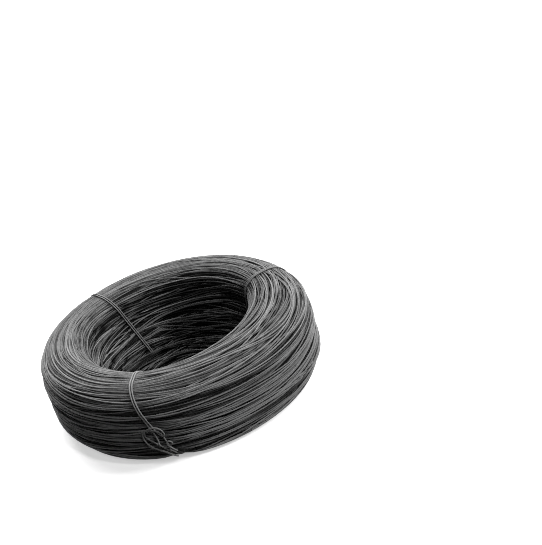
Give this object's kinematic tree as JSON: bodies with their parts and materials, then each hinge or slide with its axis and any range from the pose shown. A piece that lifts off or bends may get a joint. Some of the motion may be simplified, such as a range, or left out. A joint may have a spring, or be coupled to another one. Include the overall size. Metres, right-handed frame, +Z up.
{
  "type": "coil of annealed wire",
  "caption": "Round coil of dark annealed steel wire, lying flat with an open bore, its turns bound by doubled tie wires with twisted eyes.",
  "frame": {"origin": "on the coil's axis, in the plane of the floor that the coil lies on", "axes": "+Z up along the bore's axis, the side seen in front of the picture faces -Y"},
  "size_m": [0.35, 0.35, 0.1058],
  "materials": {
    "annealed_wire": "black annealed drawn wire, satin oxide",
    "tie_wire": "black annealed drawn wire, satin oxide"
  },
  "bodies": {
    "root": {"wire_coil": "annealed_wire", "tie_wire_right": "tie_wire", "tie_wire_back_left": "tie_wire", "tie_wire_front": "tie_wire"}
  },
  "joints": []
}
